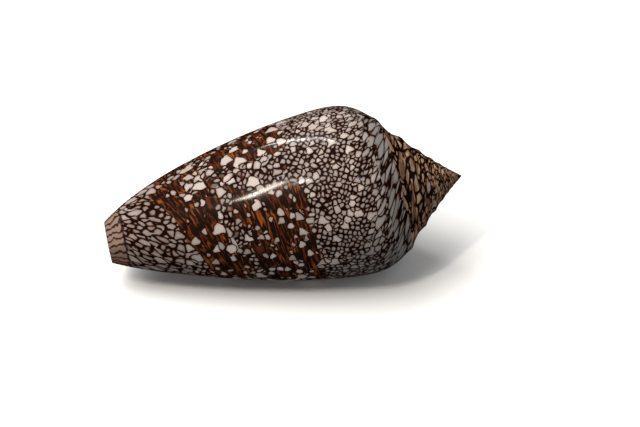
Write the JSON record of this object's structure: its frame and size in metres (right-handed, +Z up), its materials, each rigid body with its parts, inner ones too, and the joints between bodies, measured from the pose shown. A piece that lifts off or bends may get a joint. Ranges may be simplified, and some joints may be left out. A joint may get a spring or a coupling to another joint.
{
  "type": "cone shell",
  "caption": "Glossy cone shell with a low pointed spire, a long narrow aperture underneath and brown-edged white tent markings.",
  "frame": {"origin": "under the middle of the shell, on the surface that it lies on, aperture down", "axes": "+X towards the apex, +Y towards the side with the outer lip, +Z up"},
  "size_m": [0.0796, 0.0406, 0.037],
  "materials": {
    "glazed_shell": "glossy, brown net over cream white"
  },
  "bodies": {
    "root": {"shell": "glazed_shell"}
  },
  "joints": []
}
